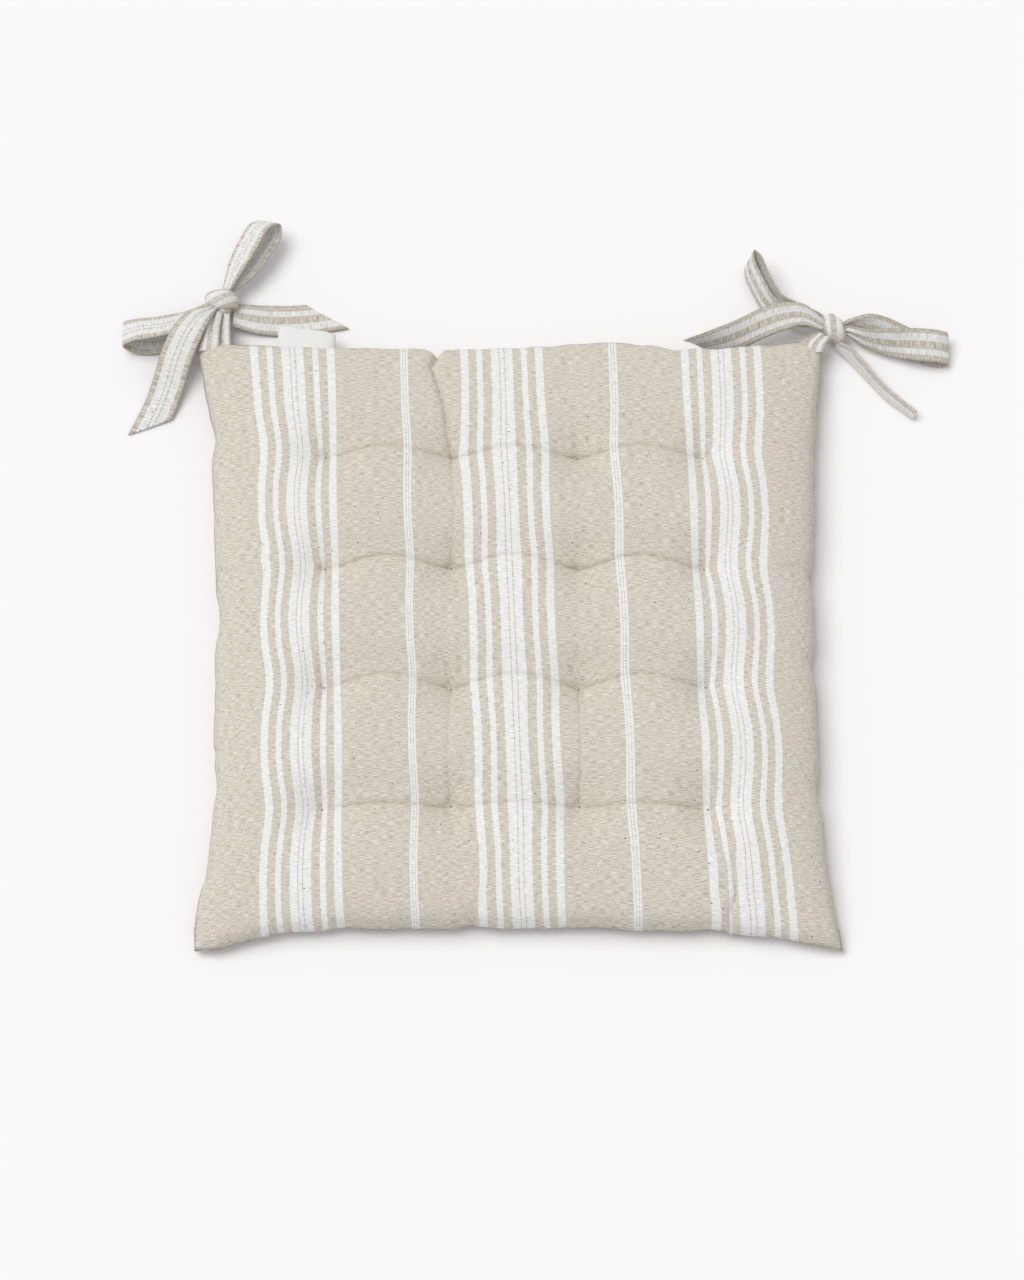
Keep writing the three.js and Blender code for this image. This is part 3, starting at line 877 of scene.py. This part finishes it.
def strand(top, bottom, y):
    """One thread's way over the top cloth, down through the pad, under the bottom cloth and back up."""
    over = [top + (a * STITCH_HALF, y, c * MM) for a, c in STITCH]
    down = [top + (0.6 * STITCH_HALF, y, -3 * MM), bottom + (0.6 * STITCH_HALF, y, 3 * MM)]
    under = [bottom + (a * STITCH_HALF, y, -c * MM) for a, c in reversed(STITCH[2:5])]
    up = [bottom + (-0.6 * STITCH_HALF, y, 3 * MM), top + (-0.8 * STITCH_HALF, y, -4 * MM)]
    return np.array(over + down + under + up)


def make_tuft(name, top, bottom, material):
    """Two strands of thread through the pad, with a short stitch on each face."""
    ways = [strand(top, bottom, y) for y in (-STRAND_APART, STRAND_APART)]
    tuft = mesh_object(name + "_stitch", *join_parts([tube(way, STRAND_RADIUS, 6) for way in ways]))
    fine = tuft.modifiers.new("fine", "SUBSURF")
    fine.render_levels = 1
    fine.levels = 1
    dress(tuft, material, "sewing_thread", name)
    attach(tuft, "pad")


def spline(values, t):
    """A smooth curve through values, as the CAD draws it: t runs from 0 to 1."""
    values = np.asarray(values, float)
    before, after = 2 * values[0] - values[1], 2 * values[-1] - values[-2]
    padded = np.concatenate([[before], values, [after]])
    place = np.clip(np.asarray(t) * (len(values) - 1), 0, len(values) - 1)
    i = np.minimum(place.astype(int), len(values) - 2)
    f = (place - i)[..., None]
    p0, p1, p2, p3 = (padded[i + k] for k in range(4))
    d0, d1, d2 = (
        np.maximum(np.linalg.norm(b - a, axis=-1, keepdims=True) ** 0.5, 1e-6)
        for a, b in ((p0, p1), (p1, p2), (p2, p3))
    )
    m1 = ((p1 - p0) / d0 - (p2 - p0) / (d0 + d1) + (p2 - p1) / d1) * d1
    m2 = ((p2 - p1) / d1 - (p3 - p1) / (d1 + d2) + (p3 - p2) / d2) * d1
    blend = 3 * f**2 - 2 * f**3
    return (1 - blend) * p1 + (f**3 - 2 * f**2 + f) * m1 + blend * p2 + (f**3 - f**2) * m2


STRAP = 21 * MM
STRAP_ROOT = 9  # millimetres wide at a knot
STRAP_THICK = 1.5 * MM
BAND_COLUMNS = 17
BAND_STEP = 1.1 * MM
# A strap's faint waves: (height, wavelength / (2 pi), how far they turn across the strap)
RIPPLES = ((0.22 * MM, 9 * MM, 2), (0.12 * MM, 3.7 * MM, -5))
GATHERS = 2.5  # folds across a strap where it is narrowed
CURL_FROM = 0.28  # share of the width from the middle, where the edge starts to turn up


class Band:
    """A flat band of cloth bent along stations of [centre, width direction, width], in millimetres."""

    def __init__(self, stations, thick=STRAP_THICK, cut=0.0, offset=0.0, pleats=0.9 * MM, seed=0, curl=0.0):
        self.centres = np.array([s[0] for s in stations]) * MM
        acrosses = np.array([s[1] for s in stations], float)
        self.acrosses = acrosses / np.linalg.norm(acrosses, axis=1)[:, None]
        self.widths = np.array([[s[2], 0, 0] for s in stations]) * MM
        self.thick = thick
        self.cut = cut
        self.offset = offset * MM
        self.pleats = pleats
        self.curl = curl
        self.random = np.random.default_rng(seed)
        fine = spline(self.centres, np.linspace(0, 1, 400))
        self.length = float(np.linalg.norm(np.diff(fine, axis=0), axis=1).sum())

    def place(self, t, x):
        """The middle surface at t along the band and x across it, from -0.5 to 0.5, and its normal."""
        t = t * (1 - self.cut * (0.5 - x))
        step = 1e-3
        centre = spline(self.centres, t)
        ahead = spline(self.centres, np.minimum(t + step, 1)) - spline(self.centres, np.maximum(t - step, 0))
        across = spline(self.acrosses, t)
        across /= np.linalg.norm(across, axis=-1, keepdims=True)
        normal = np.cross(ahead, across)
        normal /= np.linalg.norm(normal, axis=-1, keepdims=True)
        width = spline(self.widths, t)[..., :1]
        return centre + across * width * x[..., None], normal, width[..., 0], t * self.length

    def surface(self):
        rows = max(12, round(self.length / BAND_STEP))
        t, x = np.meshgrid(np.linspace(0, 1, rows + 1), np.linspace(-0.5, 0.5, BAND_COLUMNS), indexing="ij")
        middle, normal, width, along = self.place(t, x)
        gathered = np.clip(1 - width / STRAP, 0, 1) if self.pleats else 0
        phase = self.random.uniform(0, 2 * np.pi, 3)
        lift = self.pleats * gathered * np.cos(2 * np.pi * GATHERS * x + phase[0])
        for (height, length, turn), start in zip(RIPPLES, phase[1:]):
            lift += height * np.sin(along / length + start + turn * x)
        lift += self.curl * MM * np.clip((x - CURL_FROM) / (0.5 - CURL_FROM), 0, 1) ** 2
        edge = np.sqrt(np.clip(1 - np.abs(2 * x) ** 8, 0, 1))
        bulge = self.thick / 2 * (0.25 + 0.75 * edge) * (1 + 0.5 * gathered)
        upper = middle + normal * (lift + bulge)[..., None]
        lower = middle + normal * (lift - bulge)[..., None]
        to_edge = (0.5 - np.abs(x)) * STRAP
        cloth = np.stack([self.offset + x * STRAP, along, to_edge], -1)
        return upper, lower, cloth

    def mesh(self):
        upper, lower, cloth = self.surface()
        rows, columns = upper.shape[:2]
        a = np.arange(rows * columns).reshape(rows, columns)
        b = a + rows * columns
        loop = np.concatenate([a, b[:, ::-1], a[:, :1]], 1)
        faces = quads(loop).tolist()
        for end, flip in ((0, False), (rows - 1, True)):
            for k in range(columns - 1):
                face = [a[end, k], a[end, k + 1], b[end, k + 1], b[end, k]]
                faces.append(face[::-1] if flip else face)
        points = np.concatenate([upper.reshape(-1, 3), lower.reshape(-1, 3)])
        return points, faces, np.tile(cloth.reshape(-1, 3), (2, 1))


def make_band(name, band, material, slot="tie_linen"):
    points, faces, cloth = band.mesh()
    piece = mesh_object(name + "_cloth", points, faces)
    store_cloth(piece, cloth)
    return dress(piece, material, slot, name)


# The knots' centres, in millimetres
LEFT_KNOT = (-189, 235, 10)
RIGHT_KNOT = (204.5, 216.4, 10.4)
TUCK = 0.35  # how far from its first station towards the knot's centre a strap goes on
TUCK_WIDTH = 0.7  # of the first station's
FLAT_ROOT = 12  # a strap this wide lies flat under its knot and stays as it is


def tucked(name, stations):
    """Carries a strap on into its knot, and a loop's other end too."""
    if stations[0][2] > FLAT_ROOT:
        return stations
    knot = LEFT_KNOT if name.startswith("left") else RIGHT_KNOT
    ends = [stations[0], stations[-1]] if "loop" in name else [stations[0]]
    inner = []
    for centre, across, width in ends:
        place = tuple(c + TUCK * (k - c) for c, k in zip(centre, knot))
        inner.append((place, across, TUCK_WIDTH * width))
    return (inner[0], *stations, *inner[1:])


# ---- The stations of the ties, the same as the CAD's ----
LEFT_LEAN = (0.669, -0.373, 0.643)
LEFT_REAR_LOOP = (
    ((-184.8, 244.7, 13.3), LEFT_LEAN, STRAP_ROOT),
    ((-179.8, 257.4, 15.4), LEFT_LEAN, 17),
    ((-172.9, 271.8, 16.6), LEFT_LEAN, 21),
    ((-165.1, 285.8, 16.6), LEFT_LEAN, 21),
    ((-158.3, 290, 12), LEFT_LEAN, 21),
    ((-158.3, 282, 8.6), LEFT_LEAN, 21),
    ((-166.1, 268, 8.4), LEFT_LEAN, 21),
    ((-174.8, 254.6, 8.8), LEFT_LEAN, 17),
    ((-182.9, 243.7, 10.4), LEFT_LEAN, STRAP_ROOT),
)
LEFT_SIDE_LOOP = (
    ((-199.2, 229, 13), (0.3, 0.9, -0.3), 11),
    ((-212, 220.6, 14.2), (0.15, 0.88, -0.45), 19),
    ((-229, 216, 14.6), (0, 0.88, -0.45), 21),
    ((-244, 214.5, 13), (0, 0.88, -0.42), 21),
    ((-252, 213.5, 7.8), (0, 0.95, -0.3), 21),
    ((-244.5, 212.5, 2.6), (0, 1, -0.06), 21),
    ((-229, 213, 1.8), (0, 1, 0), 21),
    ((-212, 221, 3.8), (0.3, 0.95, 0), 17),
    ((-199.5, 228.6, 8), (0.4, 0.9, 0), STRAP_ROOT),
)
LEFT_LONG_TAIL = (
    ((-195.6, 226.2, 18.5), (-0.7, 0.45, 0.2), 7),
    ((-203, 219.5, 22.4), (-0.82, 0.5, 0.1), 15),
    ((-210.5, 208, 22.2), (-0.88, 0.46, 0.05), 20),
    ((-217, 195, 16.5), (-0.92, 0.4, 0), 21),
    ((-222, 180, 8), (-0.94, 0.33, 0), 21),
    ((-228, 164, 2.8), (-0.93, 0.36, 0), 21),
    ((-238.5, 141.5, 1.3), (-0.9, 0.42, 0), 21),
)
LEFT_SHORT_TAIL = (
    ((-181.5, 227.5, 6.5), (-0.1, -1, 0.1), 17),
    ((-166, 225.6, 3.6), (-0.05, -1, 0), 20),
    ((-150, 225.4, 2), (0, -1, 0), 21),
    ((-130, 227, 1.5), (0.1, -1, 0), 21),
    ((-108.5, 230.5, 1.4), (0.15, -1, 0), 21),
)
RIGHT_LEAN = (0.24, 0.24, 0.94)
RIGHT_REAR_LOOP = (
    ((194.6, 220.3, 11.5), (0.5, 0.4, 0.77), STRAP_ROOT),
    ((183, 223.2, 12.2), (0.4, 0.35, 0.85), 15),
    ((173.2, 225.9, 12.4), (0.3, 0.3, 0.9), 19),
    ((164.8, 231, 12.6), RIGHT_LEAN, 20),
    ((156.4, 246, 12.8), RIGHT_LEAN, 21),
    ((151.7, 258.6, 12.8), RIGHT_LEAN, 21),
    ((152, 264.6, 11.8), RIGHT_LEAN, 21),
    ((156, 261.4, 10.8), RIGHT_LEAN, 21),
    ((161, 248.6, 10.8), RIGHT_LEAN, 21),
    ((169.4, 234, 10.6), RIGHT_LEAN, 20),
    ((178, 228.8, 10.4), (0.35, 0.3, 0.88), 18),
    ((186, 226.4, 10), (0.4, 0.35, 0.85), 15),
    ((195.6, 223.6, 9.6), (0.5, 0.4, 0.77), STRAP_ROOT),
)
RIGHT_SHORT_TAIL = (
    ((196.2, 217.4, 16.4), (0.1, 0.9, 0.4), STRAP_ROOT),
    ((185, 220.8, 22.6), (0.05, 0.88, 0.45), 14),
    ((173, 219.6, 23), (-0.05, 0.85, 0.5), 18),
    ((158.5, 215.6, 20), (-0.1, 0.8, 0.58), 20),
    ((143, 210.2, 14.8), (-0.1, 0.66, 0.75), 21),
    ((126.5, 206.2, 12), (-0.05, 0.42, 0.9), 21),
    ((108, 201.6, 11.2), (0, 0.14, 0.99), 21),
)
RIGHT_SIDE_LOOP = (
    ((214.4, 214.2, 12), (0.2, 0.35, 0.9), STRAP_ROOT),
    ((226, 208.8, 12.6), (0.15, 0.36, 0.92), 17),
    ((241, 205, 14), (0.05, 0.55, 0.83), 21),
    ((258, 203.6, 14.4), (0, 0.85, 0.5), 21),
    ((271.5, 203, 12.6), (0, 0.94, 0.32), 21),
    ((278, 203, 7.8), (0, 0.96, 0.26), 21),
    ((271.5, 203.4, 3.2), (0, 0.99, 0.1), 21),
    ((256, 207.5, 4.4), (0, 0.96, 0.25), 21),
    ((240, 213.6, 8.6), (0.05, 0.76, 0.65), 21),
    ((226, 218.6, 10.6), (0.15, 0.52, 0.84), 18),
    ((214.6, 219.2, 10.6), (0.2, 0.4, 0.89), STRAP_ROOT),
)
RIGHT_LONG_TAIL = (
    ((208.4, 206, 7.4), (0.3, 0.3, 0.9), 7),
    ((214.6, 201.4, 6), (0.45, 0.42, 0.78), 9),
    ((221, 194, 5.6), (0.3, 0.3, 0.9), 9.5),
    ((229, 184, 5.4), (0.3, 0.3, 0.9), 9.5),
    ((239.5, 172.4, 5.4), (0.28, 0.34, 0.9), 9),
    ((256.5, 158.2, 5.2), (0.25, 0.4, 0.88), 7),
)
LEFT_UPPER_STEM = (
    ((-196.5, 197.5, 17.6), (1, 0, 0), 13),
    ((-196, 201.6, 18.2), (1, 0, 0), 13),
    ((-195, 212, 17.4), (1, 0, 0), 11),
    ((-192.4, 226, 14.4), (1, 0, 0), 9),
)
LEFT_LOWER_STEM = (
    ((-188.6, 197.5, 16.2), (1, 0, 0), 13),
    ((-188.6, 201.6, 15.8), (1, 0, 0), 13),
    ((-188.4, 212, 15), (1, 0, 0), 11),
    ((-187.8, 226, 12), (1, 0, 0), 9),
)
RIGHT_UPPER_STEM = (
    ((191, 196.5, 17.6), (1, 0, 0), 14),
    ((192.6, 201.6, 18.2), (1, 0, 0), 14),
    ((194.6, 204.4, 18), (1, -0.3, 0), 12),
    ((198.5, 209, 16.4), (1, -0.6, 0), 9),
)
RIGHT_LOWER_STEM = (
    ((187, 196.5, 16.2), (1, 0, 0), 14),
    ((188, 201.6, 15.8), (1, 0, 0), 14),
    ((190.6, 204.6, 15.4), (1, -0.3, 0), 12),
    ((196, 209.5, 13.4), (1, -0.6, 0), 9),
)
LABEL = (
    ((-133.5, 197.5, 16.8), (1, 0, 0), 37),
    ((-133.5, 201.5, 17.4), (1, 0, 0), 37),
    ((-133.5, 206.5, 17.6), (1, -0.06, 0), 37),
    ((-133.5, 213.5, 15.6), (1, -0.13, 0), 37),
)

# Where a strap was cut from the striped cloth: millimetres from the middle of a group of stripes
ON_GROUP = 0
BESIDE_GROUP = 18.5

STRAPS = {
    "left_rear_loop": dict(stations=LEFT_REAR_LOOP, offset=ON_GROUP),
    "left_side_loop": dict(stations=LEFT_SIDE_LOOP, offset=ON_GROUP),
    "left_long_tail": dict(stations=LEFT_LONG_TAIL, offset=ON_GROUP, cut=0.12),
    "left_short_tail": dict(stations=LEFT_SHORT_TAIL, offset=BESIDE_GROUP, cut=0.3),
    "right_rear_loop": dict(stations=RIGHT_REAR_LOOP, offset=BESIDE_GROUP),
    "right_short_tail": dict(stations=RIGHT_SHORT_TAIL, offset=BESIDE_GROUP, cut=0.15),
    "right_side_loop": dict(stations=RIGHT_SIDE_LOOP, offset=BESIDE_GROUP),
    "right_long_tail": dict(stations=RIGHT_LONG_TAIL, offset=2.2, thick=2.6 * MM, pleats=0),
}
STEMS = {
    "left_upper_stem": LEFT_UPPER_STEM,
    "left_lower_stem": LEFT_LOWER_STEM,
    "right_upper_stem": RIGHT_UPPER_STEM,
    "right_lower_stem": RIGHT_LOWER_STEM,
}


def make_ties(material):
    for seed, (name, shape) in enumerate(STRAPS.items(), 1):
        stations = tucked(name, shape["stations"])
        band = Band(**{**shape, "stations": stations}, seed=seed)
        piece = make_band(name, band, material)
        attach(piece, name)
    for seed, (name, stations) in enumerate(STEMS.items(), 11):
        band = Band(stations, offset=BESIDE_GROUP, seed=seed)
        piece = make_band(name, band, material)
        name.split("_")[0] + "_tie"
        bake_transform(piece)


def make_label(material):
    band = Band(LABEL, thick=0.7 * MM, pleats=0, curl=2.2, seed=21)
    piece = make_band("label", band, material, "label_tape")
    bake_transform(piece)


# ---- Knots: a band wound over the place where the straps cross ----
class Wrap:
    """A wound band: axis is the way that the straps run through it, radii across the axis and up."""

    def __init__(self, centre, axis, radii, width, slant, offset):
        self.centre = np.array(centre) * MM
        self.axis = np.array([math.cos(axis), math.sin(axis), 0])
        self.side = np.array([-math.sin(axis), math.cos(axis), 0])
        self.radii = np.array(radii) * MM
        self.width = width * MM
        self.slant = slant * MM
        self.offset = offset * MM

    def shell(self, around=72, along=28):
        turn = np.linspace(0, 2 * np.pi, around + 1)[:-1]
        angle, s = np.meshgrid(turn, np.linspace(-1, 1, along + 1), indexing="ij")
        crown = np.sqrt(1 - 0.72 * s**2)
        folds = 1 + 0.035 * np.cos(5.2 * s + 1.4 * np.sin(angle)) + 0.02 * np.sin(9 * s + 2 * angle)
        reach = crown * folds
        lean = self.slant * np.cos(angle)
        middle = self.centre + (s * self.width / 2 + lean)[..., None] * self.axis
        out = (self.radii[0] * np.cos(angle) * reach)[..., None] * self.side
        up = (self.radii[1] * np.sin(angle) * reach)[..., None] * np.array([0, 0, 1.0])
        across = self.offset + s * self.width / 2 * 1.3
        return middle + out + up, np.stack([across, angle * self.radii[0], np.ones_like(s)], -1)

    def mesh(self):
        """The wound band's outside, closed by a core that it dips into at both ends."""
        points, cloth = self.shell()
        around, along = points.shape[:2]
        index = np.arange(around * along).reshape(around, along)
        ends = [self.centre + self.axis * self.width * share for share in (-0.36, 0.36)]
        faces = quads(np.concatenate([index, index[:1]], 0)).tolist()
        low, high = around * along, around * along + 1
        for k in range(around):
            m = (k + 1) % around
            faces.append([index[k, 0], index[m, 0], low])
            faces.append([index[m, -1], index[k, -1], high])
        points = np.concatenate([points.reshape(-1, 3), ends])
        return points, faces, np.concatenate([cloth.reshape(-1, 3), cloth[0, [0, -1]]])


# The outer turn of each knot, and the turn under it that shows at its ends
KNOTS = {
    "left_knot": (
        Wrap(LEFT_KNOT, math.radians(125), (10.5, 8.8), 16, 2.0, BESIDE_GROUP),
        Wrap((-189, 235, 9.6), math.radians(38), (8.6, 7.6), 16, 1.0, ON_GROUP),
    ),
    "right_knot": (
        Wrap(RIGHT_KNOT, math.radians(-8), (9.2, 8.8), 15, -2, BESIDE_GROUP),
        Wrap((204.5, 216.2, 9.6), math.radians(80), (8.2, 7.4), 15, 1.0, ON_GROUP),
    ),
}


def make_knots(material):
    for name, wraps in KNOTS.items():
        turns = [wrap.mesh() for wrap in wraps]
        knot = mesh_object(name + "_cloth", *join_parts([turn[:2] for turn in turns]))
        store_cloth(knot, np.concatenate([turn[2] for turn in turns]))
        dress(knot, material, "tie_linen", name)
        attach(knot, name.replace("knot", "tie"))


def make_pad(materials):
    top, bottom = simulate_covers()
    press_down(top)
    top, bottom = refine(top), refine(bottom)
    u, v = grid_lines(2 * GRID)
    dent(top, u, v)
    dent(bottom, u, v)
    crease_top(top, u, v)
    make_cover("cover_top", top, 1, materials["linen"])
    make_cover("cover_bottom", bottom, -1, materials["linen"])
    make_wadding(top, bottom, materials["fibre"])
    make_seam_thread(top, materials["thread"])
    lines = tuft_indices(2 * GRID)
    for row, j in enumerate(reversed(lines)):
        for column, i in enumerate(lines):
            make_tuft(f"tuft_{row + 1}_{column + 1}", top[j, i], bottom[j, i], materials["thread"])


def main():
    make_camera()
    make_light()
    make_floor()
    materials = {
        "linen": linen("striped_linen", BEIGES),
        "tie": linen("tie_linen", TIE_BEIGES, coarse=1.2, shade=0.88, ribs=0.035, edge_shade=0.35),
        "fibre": fibre("wadding"),
        "thread": thread("sewing_thread"),
        "tape": tape("label_tape"),
    }
    make_pad(materials)
    make_ties(materials["tie"])
    make_knots(materials["tie"])
    make_label(materials["tape"])


main()
